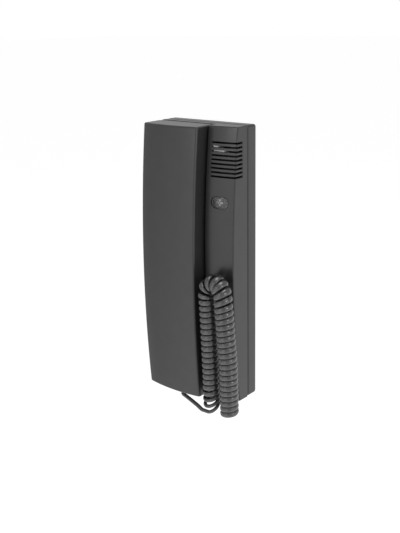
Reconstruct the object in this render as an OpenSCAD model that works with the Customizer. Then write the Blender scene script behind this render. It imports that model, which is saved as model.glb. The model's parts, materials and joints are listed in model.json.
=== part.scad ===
// Wall intercom: a wall unit, a handset on its cradle and the curly cord between them.
// X runs to the right, Y into the wall and Z up. The wall is the plane y = 0, and depths
// are counted from it towards the room, along -Y. The origin is the middle of the wall screws.

/* [Wall unit] */
// Height of the wall unit
unit_h = 210; // [204:0.5:225]
// Width of the wall unit
unit_w = 77; // [75:0.5:90]
// Depth of the wall plate, up to the seam
plate_d = 10.4; // [9.6:0.1:11]
// Thickness of the wall plate's floor
plate_floor = 2.2; // [1.6:0.1:2.8]
// Thickness of the wall plate's rim
plate_rim = 1.8; // [1.4:0.1:2]
// Open seam between the wall plate and the front cover
seam = 0.4; // [0.2:0.1:0.6]
// Wall thickness of the front cover
cover_wall = 2.2; // [1.9:0.1:2.5]
// Thickness of the cover's lip inside the wall plate's rim
lip_t = 1.4; // [1:0.1:1.8]
// Length of that lip behind the seam
lip_l = 2; // [1:0.1:3]
// Depth of the cradle floor behind the handset
cradle_d = 16; // [15.5:0.1:17]
// Width of the raised strip beside the handset
strip_w = 24.5; // [23.8:0.1:27]
// Depth of the strip's outer edge at mid-height
strip_mid = 28.1; // [27:0.1:31]
// Depth of the strip's outer edge at the top and bottom
strip_end = 21.3; // [20.5:0.1:24]
// How much deeper the strip stands beside the handset than at its outer edge
strip_rise = 3.1; // [1:0.1:4]
// Rounding of the strip's long edges
strip_edge_r = 1.2; // [0.6:0.1:2]

/* [Wall fixing] */
// Distance between the two wall screw holes
wall_hole_pitch = 60; // [50:1:64]
// Radius of a wall screw hole
wall_hole_r = 2.1; // [1.6:0.1:3]
// Width of the cable window in the wall plate
cable_w = 28; // [16:1:36]
// Height of the cable window in the wall plate
cable_h = 36; // [20:1:40]
// Radius of the screw that holds the cover
cover_screw_r = 1.3; // [1:0.1:1.6]

/* [Speaker grille] */
// Number of slots
slot_count = 9; // [5:1:10]
// Distance from slot to slot
slot_pitch = 3; // [2.4:0.1:3.2]
// Height of one slot
slot_h = 1.4; // [0.8:0.1:1.6]
// Distance from the unit's top down to the grille's middle
grille_drop = 23.4; // [21:0.1:27]
// Distance from the strip's inner side to the slots
slot_inset = 4.4; // [3:0.1:8]
// Depth at which the slots end on the outer side
slot_side_d = 16.3; // [15:0.1:18]

/* [Speaker] */
// Width of the loudspeaker
speaker_w = 19; // [17:0.1:19.4]
// Height of the loudspeaker
speaker_h = 28; // [24:0.5:29]
// Depth of the loudspeaker's front face
speaker_d = 18.5; // [16:0.1:18.8]
// Thickness of the loudspeaker's rim
speaker_rim = 1.2; // [0.8:0.1:1.6]
// Depth of the basket behind the rim
speaker_basket = 4.8; // [4:0.1:6]

/* [Door button] */
// Width of the oval button
button_w = 14.1; // [11:0.1:15]
// Height of the oval button
button_h = 8.2; // [6:0.1:9]
// Distance from the grille's middle down to the button
button_drop = 30.6; // [28:0.1:34]
// How far the button stands out of the cover
button_proud = 1.2; // [0.6:0.1:2]
// How far the button goes in when pressed
button_travel = 1; // [0.4:0.1:1.2]

/* [Cradle switch] */
// Radius of the plunger
plunger_r = 4; // [3:0.1:4.5]
// Travel of the plunger
plunger_travel = 2; // [1:0.1:2.2]
// Distance from the earpiece down to the plunger
plunger_gap = 3; // [1:0.1:6]
// Wire diameter of the plunger's spring
spring_wire = 0.5; // [0.4:0.1:0.6]

/* [Handset] */
// Gap between the handset's side and the strip
side_gap = 1.6; // [0.5:0.1:2]
// How far the handset stands out past the unit's left side
side_over = 0.6; // [0:0.1:1.5]
// Gap between the handset's rear and the cradle floor
rest_gap = 0.3; // [0.2:0.1:0.6]
// Step from the unit's top down to the handset's top
top_step = 0.3; // [0.2:0.1:2]
// Step from the unit's bottom up to the handset's bottom
bottom_step = 2; // [0:0.1:4]
// Depth of the handset's long edges where they stand furthest out
handset_mid = 42; // [39:0.1:46]
// Radius of the handset's lengthwise curve
handset_arc_r = 1013; // [800:1:1400]
// Height at which that curve stands furthest out
handset_arc_z = -14.6; // [-25:0.1:10]
// Crown of the handset's front across its width
handset_crown = 2.7; // [1.5:0.1:4]
// Rounding of the handset's long front edges
handset_edge_r = 2; // [0.8:0.1:3]
// Rounding of the handset's long rear edges
handset_rear_r = 4; // [2.5:0.1:4.5]
// Wall thickness of the handset's shells
handset_wall = 2; // [1.6:0.1:2.4]
// Depth of the parting line between the handset's shells
parting_d = 22; // [21.6:0.1:23]
// Angle above level at which the handset leaves its tongue
lift_angle = 40; // [30:1:50]
// Width of the tongue that carries the handset
tongue_w = 12; // [8:0.5:16]
// Height of the tongue's root
tongue_h = 8; // [6:0.5:10]
// Play round the tongue
tongue_play = 0.3; // [0.2:0.1:0.6]
// Radius of the earpiece capsule
ear_r = 15; // [13:0.1:15.5]
// Thickness of the earpiece capsule
ear_t = 8; // [6:0.1:10]
// Distance from the top screw's boss down to the earpiece's rib
ear_gap = 1.7; // [0.5:0.1:4]
// Radius of the microphone capsule
mic_r = 4.85; // [4:0.05:6]
// Distance from the handset's bottom up to the microphone
mic_rise = 29; // [24:0.5:40]

/* [Curly cord] */
// Outer diameter of the coil
coil_od = 14.3; // [13:0.1:14.4]
// Width of the strand along the coil
strand_w = 3.7; // [3:0.1:3.9]
// Thickness of the strand across the coil
strand_t = 2.7; // [2:0.1:3]
// Turns in the leg that ends at the wall unit
base_turns = 21; // [18:1:22]
// Turns in the bend
bend_turns = 5; // [4:1:6]
// Close turns in the leg that ends at the handset
handset_turns = 16; // [14:1:17]
// Loosened turns below them
loose_turns = 4; // [3:1:4]

/* [Hidden] */
$fn = 64;

// Colours of the finishes
graphite = [0.2, 0.2, 0.2];
dark_shell = [0.17, 0.17, 0.17];
cord_black = [0.13, 0.13, 0.13];
board_green = [0.1, 0.35, 0.2];
steel = [0.7, 0.7, 0.72];
nylon_white = [0.92, 0.92, 0.9];
switch_black = [0.06, 0.06, 0.06];
terminal_green = [0.2, 0.5, 0.3];
clear_smoke = [0.5, 0.5, 0.52, 0.6];
rubber_black = [0.08, 0.08, 0.08];

// Small lengths used everywhere: an overlap for joined solids and a cut's overrun
sink = 0.4;
over = 1;
// Depth beyond the whole object
far_d = 70;

// Wall unit
half_w = unit_w / 2;
half_h = unit_h / 2;
cover_rear = plate_d + seam;
lip_play = 0.2;
lip_out = plate_rim + lip_play;
lip_in = lip_out + lip_t;
floor_in = cradle_d - cover_wall;
slot_mid = half_h - grille_drop;
strip_x0 = half_w - strip_w;
strip_xc = half_w - strip_w / 2;
strip_sag = strip_mid - strip_end;
strip_r = (half_h * half_h + strip_sag * strip_sag) / (2 * strip_sag);
strip_back = strip_r - strip_mid;
strip_k = strip_rise / strip_w;

// Circuit board in front of the wall plate's floor
board_t = 1.6;
board_stand = 2.8;
board_margin = 4.5;
board_d = plate_floor + board_stand;
board_front = board_d + board_t;
board_x0 = -half_w + board_margin;
board_x1 = half_w - board_margin;
board_gap = 3;
board_h = 28.6;
board_z1 = slot_mid - speaker_h / 2 - board_gap;
board_z0 = board_z1 - board_h;
board_boss_r = 3;
board_inset = 4;
board_hole_at = [
  [board_x0 + board_inset, board_z0 + board_inset],
  [board_x0 + board_inset, board_z1 - board_inset],
  [board_x1 - board_inset, board_z0 + board_inset]
];
small_screw_r = 1;
small_screw_l = 5;
small_head_r = 2.2;
small_head_t = 1.3;
screw_play = 0.05;
hole_play = 0.2;

// Screw terminals along the board's lower edge, beside the cradle switch
plunger_lip = 1.6;
pole_count = 4;
pole_pitch = 5;
terminal_gap = 2;
terminal_x0 = handset_xc() + plunger_r + plunger_lip + terminal_gap;
terminal_inset = 0.8;
terminal_z0 = board_z0 + terminal_inset;
terminal_h = 7.5;
terminal_t = 6.2;
terminal_screw_r = 1.6;
terminal_screw_t = 2;
terminal_slot = 0.4;
terminal_play = 0.1;
wire_hole_r = 1.1;
wire_hole_l = 5;

// Loudspeaker behind the grille, on two rails of the wall plate
speaker_rail_t = 1.8;
speaker_rail_h = 12;
speaker_rail_inset = 0.9;
speaker_play = 0.1;
basket_gap = 0.3;
speaker_rear = speaker_d - speaker_rim - speaker_basket;
basket_inset = speaker_rail_inset + speaker_rail_t + basket_gap;
basket_w = speaker_w - 2 * basket_inset;
basket_h = speaker_h - 2 * basket_inset;
basket_wall = 0.8;
cone_t = 0.6;
cone_cap_r = 3.5;
magnet_r = 5.5;
magnet_t = 3;
clip_gap = 0.3;
clip_tab_play = 0.2;
clip_tab_inset = 0.5;
clip_tab_l = [9.4, 4];
clip_l = 11.6;
clip_h = 6;
clip_tip_h = 1.4;
clip_rise = 6.6;
clip_z = slot_mid + clip_rise;
clip_root = 3;
clip_peg_r = 0.6;
clip_peg_play = 0.05;
clip_peg_inset = 1.2;
clip_front = bulge_depth(strip_front(strip_xc - speaker_w / 2 + clip_l) - cover_wall * strip_slope(),
  strip_back, clip_z + clip_h / 2) - clip_gap;

// Door button: an oval cap on a long cross-shaped stem, and the switch below it
button_aside = 0.35;
button_x = strip_xc + button_aside;
button_z = slot_mid - button_drop;
button_play = 0.25;
button_lip = 1;
button_lip_t = 1.2;
button_dome_r = 28;
button_rib_t = 1.2;
button_rib_w = 4.6;
button_face = bulge_depth(strip_front(button_x), strip_back, button_z);
button_front = button_face + button_proud;
button_corner_x = button_x + button_w / 2 + button_lip;
button_corner_z = button_z + button_h / 2 + button_lip;
button_lip_gap = 0.3;
button_lip_d = bulge_depth(strip_front(button_corner_x) - cover_wall * strip_slope(), strip_back,
  button_corner_z) - button_lip_gap;
switch_w = 6;
switch_t = 3.4;
switch_stem_r = 1.7;
switch_stem_play = 0.08;
switch_stem_out = 1.4;
switch_well = 2.6;
switch_front = board_front + switch_t;
door_stem_front = switch_front + switch_stem_out;

// Cradle switch: a sprung plunger that the handset's rear holds in
plunger_x = handset_xc();
plunger_play = 0.1;
plunger_tip_gap = 0.1;
plunger_tip = cradle_d + rest_gap - plunger_tip_gap;
plunger_flange_r = plunger_r + plunger_lip;
plunger_flange_t = 1;
plunger_stop_gap = 0.15;
plunger_flange_d = floor_in - plunger_travel - plunger_stop_gap;
plunger_rear = plunger_flange_d - plunger_flange_t;
hook_switch_t = 2.9;
hook_stem_grip = 1.6;
hook_stem_l = plunger_travel + hook_stem_grip;
hook_switch_floor = 0.5;
hook_well = hook_switch_t - hook_switch_floor;
spring_inset = 0.4;
spring_r = plunger_flange_r - spring_wire / 2 - spring_inset;
spring_turns = 3;
spring_seat_gap = 0.1;

// Handset
handset_x0 = -half_w - side_over;
handset_x1 = strip_x0 - side_gap;
handset_w = handset_x1 - handset_x0;
handset_top = half_h - top_step;
handset_bottom = -half_h + bottom_step;
handset_rear = cradle_d + rest_gap;
handset_inner = handset_rear + handset_wall;
handset_back_axis = handset_arc_r - handset_mid;
crown_r = (handset_w * handset_w / 4 + handset_crown * handset_crown) / (2 * handset_crown);
tongue_z = 18;
tongue_out = 6;
handset_screw_r = 1.15;
handset_screw_l = 12;
handset_screw_head_r = 2.5;
handset_screw_head_t = 1.5;
handset_screw_sink = 3;
handset_boss_r = 3.5;
handset_screw_inset = 7;
handset_screw_below = 13;
handset_screw_above = 22;
ear_rib_t = 1.3;
ear_play = 0.2;
mic_z = handset_bottom + mic_rise;
handset_screw_z = [
  handset_top - handset_screw_inset, tongue_z - handset_screw_below, mic_z + handset_screw_above
];
ear_z = handset_screw_z[0] - handset_boss_r - ear_gap - ear_r - ear_play - ear_rib_t;
ear_dish = 1.2;
parting_land = 0.6;
ear_hole_r = 1.1;
ear_hole_ring = 6;
ear_hole_count = 6;
plunger_z = ear_z - ear_r - plunger_gap - plunger_r;
gasket_t = 1;
gasket_w = 3;
capsule_core_r = 8;
capsule_core_t = 2;
mic_t = 6;
mic_hole_r = 1;
mic_play = 0.05;
boot_wall = 1.4;
boot_floor = 1;
boot_play = 0.1;
boot_rib_t = 1.2;
boot_rib_h = 2.5;

// Strain reliefs of the cord: a bush with two flanges in an open saddle
bush_flange_r = 3.4;
bush_neck_r = 2.4;
bush_flange_t = 1.4;
bush_neck_l = 3.2;
bush_play = 0.1;
bush_l = bush_neck_l + 2 * bush_flange_t;
saddle_w = 7.6;
saddle_t = bush_neck_l - 2 * bush_play;
bush_bottom = 9;
base_bush_inset = 7.5;
base_bush_x = half_w - base_bush_inset;
base_bush_d = 14;
base_bush_z = -half_h + bush_bottom;
handset_bush_x = handset_xc();
handset_bush_d = handset_inner + bush_flange_r + bush_play;
handset_bush_z = handset_bottom + bush_bottom - bottom_step;
cord_port_w = 8;
cord_port_reach = 4;
base_port_d0 = cover_rear + over;
base_port_d1 = base_bush_d + 1.5 * cord_port_reach;

// Screw that holds the cover from below, in a pillar of the wall plate
cover_screw_inset = 6.5;
cover_screw_x = strip_x0 + cover_screw_inset;
cover_screw_d = (cover_rear + strip_end) / 2;
cover_screw_l = 9;
cover_head_r = 2.3;
cover_head_t = 1.4;
pillar_w = 7;
pillar_h = 8;
pillar_gap = 0.3;
pillar_z0 = -half_h + lip_in + pillar_gap;

// Curly cord, from the wall unit's end up the near leg, over the bend and down to the handset's end
coil_r = (coil_od - strand_t) / 2;
base_foot = [41.6, -37, -109.1];
base_head = [39.1, -41, -16.5];
handset_head = [21.7, -38, -16.3];
handset_foot = [22.6, -35.3, -108.1];
loose_share = 0.204;
loose_tilt = 40;
bend_mid = (base_head + handset_head) / 2;
bend_across = (base_head - handset_head) / 2;
bend_r = norm(bend_across);
bend_side = bend_across / bend_r;
coil_turns = base_turns + bend_turns + handset_turns + loose_turns + 0.25;
rings_per_turn = 8;
strand_sides = 6;
draw_to = 1.5;
bend_squeeze = 1.1;
loose_narrow = 1.2;
strand_end_l = 3;
tail_r = 1.6;
tail_sides = 8;
tail_end_l = 2.5;
base_route = [
  [31, -14, -96], [31, -14, -99.5], [31.1, -14.8, -103], [31.6, -18, -106.6],
  [32.8, -22.5, -108.8], [34.7, -27, -109.2]
];
handset_route = [
  [handset_bush_x, -21.8, -96], [handset_bush_x, -21.8, -99.5], [-13.3, -22.2, -103],
  [-13, -24.4, -106.2], [-12.2, -27.8, -108.3], [-10.4, -31.5, -108.9], [-5.3, -33.5, -109],
  [-0.3, -35, -109.4], [4.9, -36.3, -110.1], [10.1, -37.6, -110.9], [13.7, -38.7, -111.6]
];

// The handset's middle across its width
function handset_xc() = -(strip_w + side_gap + side_over) / 2;
// Points of an arc, with the ends left out where a neighbouring arc holds them
function arc(mid, r, from, to, steps, skip = 0) =
  [for (i = [skip:steps - skip]) let (a = from + (to - from) * i / steps) mid + r * [cos(a), sin(a)]];
// Depth of the strip's front at mid-height, and how much longer its slope is than its width
function strip_front(x) = strip_mid + strip_k * (half_w - x);
function strip_slope() = sqrt(1 + strip_k * strip_k);
// Depth at height z of a surface that is curved about a level axis behind the wall
function bulge_depth(d, back, z) = sqrt((d + back) * (d + back) - z * z) - back;

// Sections drawn as depth and x, inset by a wall thickness
module strip_section(inset) {
  r = max(strip_edge_r - inset, 0.3);
  x0 = strip_x0 + inset;
  x1 = half_w - inset;
  lean = atan(strip_k);
  drop = (inset + r) * strip_slope();
  polygon(concat(
    [[0, x0]],
    arc([strip_front(x0 + r) - drop, x0 + r], r, -90, lean, 5),
    arc([strip_front(x1 - r) - drop, x1 - r], r, lean, 90, 5),
    [[0, x1]]
  ));
}

module handset_section(inset) {
  half = handset_w / 2 - inset;
  r = max(handset_edge_r - inset, 0.3);
  big = crown_r - inset;
  mid = [handset_mid + handset_crown - crown_r, handset_xc()];
  turn = asin((half - r) / (big - r));
  corner = mid.x + (big - r) * cos(turn);
  polygon(concat(
    [[0, mid.y - half]],
    arc([corner, mid.y - half + r], r, -90, -turn, 5),
    arc(mid, big, -turn, turn, 20, 1),
    arc([corner, mid.y + half - r], r, turn, 90, 5),
    [[0, mid.y + half]]
  ));
}

module handset_rear_section(inset) {
  x0 = handset_x0 + inset;
  x1 = handset_x1 - inset;
  r = min(handset_rear_r, parting_d - handset_rear - parting_land) - inset;
  y = -(handset_rear + inset + r);
  polygon(concat(
    [[x0, -parting_d]],
    arc([x0 + r, y], r, 180, 90, 6),
    arc([x1 - r, y], r, 90, 0, 6),
    [[x1, -parting_d]]
  ));
}

// A section swept along a level arc about an axis behind the wall
module bulge(back, z) {
  sweep = 12;
  translate([0, back, z])
    rotate([-90, 0, 0])
      rotate([0, 90, 0])
        rotate([0, 0, -sweep])
          rotate_extrude(angle = 2 * sweep, $fn = 360)
            translate([back, 0])
              children();
}

// A box between two depths
module block(x0, x1, d0, d1, z0, z1) {
  translate([x0, -d1, z0])
    cube([x1 - x0, d1 - d0, z1 - z0]);
}

// A round bar or hole along the depth
module post(x, z, r, d0, d1) {
  translate([x, -d0, z])
    rotate([90, 0, 0])
      cylinder(r = r, h = d1 - d0);
}

// A round bar or hole along the height
module pillar(x, d, r, z0, z1) {
  translate([x, -d, z0])
    cylinder(r = r, h = z1 - z0);
}

// An outline drawn as x and z, raised between two depths
module raise(d0, d1) {
  rotate([90, 0, 0])
    translate([0, 0, d0])
      linear_extrude(d1 - d0)
        children();
}

// An oval with straight sides, wider than high or higher than wide
module oval(w, h) {
  r = min(w, h) / 2;
  dx = w / 2 - r;
  dz = h / 2 - r;
  translate([dx, dz]) circle(r);
  translate([-dx, -dz]) circle(r);
  square([max(2 * dx, dz > 0 ? w : 0), max(2 * dz, dx > 0 ? h : 0)], center = true);
}

// A profile drawn as y and z, extruded along x about a middle
module along_x(x, w) {
  translate([x - w / 2, 0, 0])
    rotate([90, 0, 90])
      linear_extrude(w)
        children();
}

module strip_solid(inset, d0) {
  intersection() {
    bulge(strip_back, 0) strip_section(inset);
    block(strip_x0 + inset, half_w - inset, d0, far_d, -half_h + inset, half_h - inset);
  }
}

module handset_solid(inset, d0) {
  intersection() {
    bulge(handset_back_axis, handset_arc_z) handset_section(inset);
    block(handset_x0 + inset, handset_x1 - inset, d0, far_d, handset_bottom + inset, handset_top - inset);
  }
}

// The tongue's profile, leaning along the way in which the handset leaves
module tongue_profile(root_d, tip_d, play) {
  climb = tan(lift_angle);
  polygon([
    [-root_d, tongue_z - play + (root_d - cradle_d) * climb],
    [-tip_d, tongue_z - play + (tip_d - cradle_d) * climb],
    [-tip_d, tongue_z + tongue_h + play + (tip_d - cradle_d) * climb],
    [-root_d, tongue_z + tongue_h + play + (root_d - cradle_d) * climb]
  ]);
}

// A saddle for the cord's bush, open to the room
module saddle(x, d, z, d0) {
  z0 = z + bush_flange_t + bush_play;
  difference() {
    block(x - saddle_w / 2, x + saddle_w / 2, d0, d, z0, z0 + saddle_t);
    pillar(x, d, bush_neck_r + bush_play, z0 - over, z0 + saddle_t + over);
  }
}

module bush(x, d, z) {
  pillar(x, d, bush_flange_r, z, z + bush_flange_t);
  pillar(x, d, bush_neck_r, z, z + bush_l);
  pillar(x, d, bush_flange_r, z + bush_l - bush_flange_t, z + bush_l);
}

// A screw along +Z with the seat of its cross-head at the origin
module screw(shank_r, shank_l, head_r, head_t) {
  arm = head_r * 1.2;
  thin = head_r * 0.3;
  translate([0, 0, -sink])
    cylinder(r = shank_r, h = shank_l + sink);
  difference() {
    translate([0, 0, -head_t])
      cylinder(r = head_r, h = head_t);
    translate([0, 0, -head_t]) {
      cube([arm, thin, head_t], center = true);
      cube([thin, arm, head_t], center = true);
    }
  }
}

// Wall unit
module wall_plate() {
  color(graphite)
    difference() {
      union() {
        difference() {
          block(-half_w, half_w, 0, plate_d, -half_h, half_h);
          block(-half_w + plate_rim, half_w - plate_rim, plate_floor, plate_d + over,
            -half_h + plate_rim, half_h - plate_rim);
        }
        for (p = board_hole_at)
          post(p.x, p.y, board_boss_r, plate_floor - sink, board_d);
        for (side = [-1, 1])
          speaker_rail(side);
        block(cover_screw_x - pillar_w / 2, cover_screw_x + pillar_w / 2, plate_floor - sink,
          cover_screw_d + pillar_w / 2, pillar_z0, pillar_z0 + pillar_h);
        saddle(base_bush_x, base_bush_d, base_bush_z, plate_floor - sink);
      }
      block(-cable_w / 2, cable_w / 2, -over, plate_floor + over, -cable_h / 2, cable_h / 2);
      for (side = [-1, 1])
        post(0, side * wall_hole_pitch / 2, wall_hole_r, -over, plate_floor + over);
      for (p = board_hole_at)
        post(p.x, p.y, small_screw_r + screw_play, board_front - small_screw_l - screw_play, board_d + over);
      pillar(cover_screw_x, cover_screw_d, cover_screw_r + screw_play, pillar_z0 - over,
        pillar_z0 + pillar_h - over);
    }
}

module speaker_rail(side) {
  x = strip_xc + side * (speaker_w / 2 - speaker_rail_inset - speaker_rail_t / 2);
  block(x - speaker_rail_t / 2, x + speaker_rail_t / 2, plate_floor - sink, speaker_d - speaker_rim,
    slot_mid - speaker_rail_h / 2, slot_mid + speaker_rail_h / 2);
}

module front_cover() {
  color(graphite)
    difference() {
      union() {
        difference() {
          union() {
            block(-half_w, half_w, cover_rear, cradle_d, -half_h, half_h);
            strip_solid(0, cover_rear);
          }
          block(-half_w + cover_wall, half_w - cover_wall, cover_rear - over, floor_in,
            -half_h + cover_wall, half_h - cover_wall);
          strip_solid(cover_wall, floor_in - over);
        }
        cover_lip();
        along_x(plunger_x, tongue_w)
          tongue_profile(cradle_d - sink, cradle_d + tongue_out, 0);
      }
      for (i = [0:slot_count - 1])
        grille_slot(slot_mid + (i - (slot_count - 1) / 2) * slot_pitch);
      translate([button_x, 0, button_z])
        raise(floor_in, far_d)
          oval(button_w + 2 * button_play, button_h + 2 * button_play);
      post(plunger_x, plunger_z, plunger_r + plunger_play, floor_in - over, cradle_d + over);
      pillar(cover_screw_x, cover_screw_d, cover_screw_r + hole_play, -half_h - over,
        -half_h + lip_in + over);
      block(base_bush_x - cord_port_w / 2, base_bush_x + cord_port_w / 2, base_port_d0, base_port_d1,
        -half_h - over, -half_h + lip_in + over);
    }
}

// The lip that centres the cover inside the wall plate's rim
module cover_lip() {
  difference() {
    block(-half_w + lip_out, half_w - lip_out, cover_rear - lip_l, floor_in + sink,
      -half_h + lip_out, half_h - lip_out);
    block(-half_w + lip_in, half_w - lip_in, cover_rear - lip_l - over, floor_in + over,
      -half_h + lip_in, half_h - lip_in);
  }
}

// One slot, cut through the strip's front and round its outer edge
module grille_slot(z) {
  block(strip_x0 + slot_inset, half_w + over, slot_side_d, far_d, z - slot_h / 2, z + slot_h / 2);
}

module cover_screw() {
  color(steel)
    translate([cover_screw_x, -cover_screw_d, -half_h])
      screw(cover_screw_r, cover_screw_l, cover_head_r, cover_head_t);
}

module circuit_board() {
  color(board_green)
    difference() {
      block(board_x0, board_x1, board_d, board_front, board_z0, board_z1);
      for (p = board_hole_at)
        post(p.x, p.y, small_screw_r + hole_play, board_d - over, board_front + over);
    }
}

module board_screws() {
  color(steel)
    for (p = board_hole_at)
      translate([p.x, -board_front, p.y])
        rotate([-90, 0, 0])
          screw(small_screw_r, small_screw_l, small_head_r, small_head_t);
}

module terminal_block() {
  color(terminal_green)
    difference() {
      block(terminal_x0, terminal_x0 + pole_count * pole_pitch, board_front, board_front + terminal_t,
        terminal_z0, terminal_z0 + terminal_h);
      for (i = [0:pole_count - 1]) {
        post(pole_x(i), terminal_z0 + terminal_h / 2, terminal_screw_r + terminal_play,
          board_front + terminal_t - terminal_screw_t, board_front + terminal_t + over);
        pillar(pole_x(i), board_front + terminal_t / 3, wire_hole_r, terminal_z0 - over,
          terminal_z0 + wire_hole_l);
      }
    }
}

function pole_x(i) = terminal_x0 + (i + 0.5) * pole_pitch;

module terminal_screws() {
  color(steel)
    for (i = [0:pole_count - 1])
      difference() {
        post(pole_x(i), terminal_z0 + terminal_h / 2, terminal_screw_r,
          board_front + terminal_t - terminal_screw_t, board_front + terminal_t - terminal_play);
        block(pole_x(i) - terminal_screw_r * 2, pole_x(i) + terminal_screw_r * 2,
          board_front + terminal_t - terminal_screw_t / 2, board_front + terminal_t + over,
          terminal_z0 + (terminal_h - terminal_slot) / 2, terminal_z0 + (terminal_h + terminal_slot) / 2);
      }
}

// Loudspeaker
module speaker_frame() {
  color(switch_black)
    translate([strip_xc, 0, slot_mid])
      difference() {
        union() {
          raise(speaker_d - speaker_rim, speaker_d) oval(speaker_w, speaker_h);
          raise(speaker_rear, speaker_d - speaker_rim + sink) oval(basket_w, basket_h);
        }
        raise(speaker_rear + basket_wall, speaker_d + over)
          oval(basket_w - 2 * basket_wall, basket_h - 2 * basket_wall);
        post(clip_x() - strip_xc, clip_z - slot_mid, clip_peg_r + clip_peg_play,
          speaker_d - speaker_rim - over, speaker_d + over);
      }
}

module speaker_cone() {
  color(switch_black)
    translate([strip_xc, 0, slot_mid]) {
      raise(speaker_d - speaker_rim - cone_t, speaker_d - speaker_rim)
        oval(basket_w - 2 * basket_wall - 2 * speaker_play, basket_h - 2 * basket_wall - 2 * speaker_play);
      intersection() {
        translate([0, -(speaker_d - speaker_rim - cone_t), 0]) sphere(cone_cap_r / 2);
        post(0, 0, cone_cap_r, speaker_d - speaker_rim - cone_t / 2, speaker_d + over);
      }
    }
}

module speaker_magnet() {
  color(steel)
    post(strip_xc, slot_mid, magnet_r, speaker_rear - magnet_t, speaker_rear);
}

function clip_x() = strip_xc - speaker_w / 2 + clip_peg_inset;

// The white clip that lies on the loudspeaker's rim
module speaker_clip() {
  x0 = strip_xc - speaker_w / 2;
  color(nylon_white) {
    raise(speaker_d, clip_front)
      polygon([
        [x0, clip_z - clip_h / 2], [x0 + clip_l, clip_z - clip_h / 2],
        [x0 + clip_l, clip_z - clip_h / 2 + clip_tip_h], [x0 + clip_root, clip_z + clip_h / 2],
        [x0, clip_z + clip_h / 2]
      ]);
    post(clip_x(), clip_z, clip_peg_r, speaker_d - speaker_rim, speaker_d + sink);
    clip_tab(2, clip_tab_l[0]);
    clip_tab(3, clip_tab_l[1]);
  }
}

// A tab of the clip in the slot that many places above the grille's middle
module clip_tab(place, l) {
  x0 = strip_x0 + slot_inset + clip_tab_play;
  z = slot_mid + place * slot_pitch;
  half = slot_h / 2 - clip_tab_play;
  block(x0, x0 + l, clip_front - sink,
    bulge_depth(strip_front(x0 + l), strip_back, z + half) - clip_tab_inset, z - half, z + half);
}

// Door button and its switch
module door_button() {
  color(clear_smoke) {
    intersection() {
      translate([button_x, 0, button_z])
        raise(button_lip_d - sink, button_front + over)
          oval(button_w, button_h);
      translate([button_x, button_dome_r - button_front, button_z])
        sphere(button_dome_r, $fn = 120);
    }
    translate([button_x, 0, button_z])
      raise(button_lip_d - button_lip_t, button_lip_d)
        oval(button_w + 2 * button_lip, button_h + 2 * button_lip);
    button_rib(button_rib_w, button_rib_t);
    button_rib(button_rib_t, button_rib_w);
  }
}

// One blade of the button's cross-shaped stem
module button_rib(w, h) {
  block(button_x - w / 2, button_x + w / 2, door_stem_front, button_lip_d - button_lip_t + sink,
    button_z - h / 2, button_z + h / 2);
}

// A square push switch with a round well for its stem
module switch_body(x, z, t, well) {
  difference() {
    block(x - switch_w / 2, x + switch_w / 2, board_front, board_front + t,
      z - switch_w / 2, z + switch_w / 2);
    post(x, z, switch_stem_r + switch_stem_play, board_front + t - well, board_front + t + over);
  }
}

module door_switch() {
  color(switch_black)
    switch_body(button_x, button_z, switch_t, switch_well);
}

module door_switch_stem() {
  color(nylon_white)
    post(button_x, button_z, switch_stem_r, switch_front - switch_well + button_travel + switch_stem_play,
      door_stem_front);
}

// Cradle switch
module hook_plunger() {
  color(dark_shell)
    difference() {
      union() {
        post(plunger_x, plunger_z, plunger_flange_r, plunger_rear, plunger_flange_d);
        post(plunger_x, plunger_z, plunger_r, plunger_rear, plunger_tip);
      }
      post(plunger_x, plunger_z, switch_stem_r + switch_stem_play, plunger_rear - over, plunger_rear + sink);
    }
}

module hook_spring() {
  seat = board_front + spring_wire / 2 + spring_seat_gap;
  top = plunger_rear - spring_wire / 2 - spring_seat_gap;
  count = spring_turns * rings_per_turn;
  points = [for (i = [0:count]) let (a = 360 * i / rings_per_turn)
    [plunger_x + spring_r * cos(a), -(seat + (top - seat) * i / count), plunger_z + spring_r * sin(a)]];
  color(steel)
    tube([for (i = [0:count]) let (out = points[i] - [plunger_x, points[i].y, plunger_z])
      ring(points[i], heading(points, i), out, spring_wire / 2, spring_wire / 2, strand_sides)]);
}

module hook_switch() {
  color(switch_black)
    switch_body(plunger_x, plunger_z, hook_switch_t, hook_well);
}

module hook_switch_stem() {
  color(nylon_white)
    post(plunger_x, plunger_z, switch_stem_r, plunger_rear + sink - hook_stem_l, plunger_rear + sink);
}

module base_gland() {
  color(rubber_black)
    bush(base_bush_x, base_bush_d, base_bush_z);
}

// Handset
module handset_front() {
  color(dark_shell)
    difference() {
      union() {
        difference() {
          handset_solid(0, parting_d);
          handset_solid(handset_wall, parting_d - over);
        }
        for (z = handset_screw_z)
          intersection() {
            post(handset_xc(), z, handset_boss_r, parting_d, far_d);
            handset_solid(handset_wall / 2, parting_d - over);
          }
      }
      for (z = handset_screw_z)
        post(handset_xc(), z, handset_screw_r + screw_play, parting_d - over,
          handset_rear + handset_screw_sink + handset_screw_l + over);
      handset_cord_port();
    }
}

// The notch in both shells' bottom walls through which the cord leaves
module handset_cord_port() {
  block(handset_bush_x - cord_port_w / 2, handset_bush_x + cord_port_w / 2, handset_inner,
    handset_bush_d + cord_port_reach, handset_bottom - over, handset_bottom + handset_wall + over);
}

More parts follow.
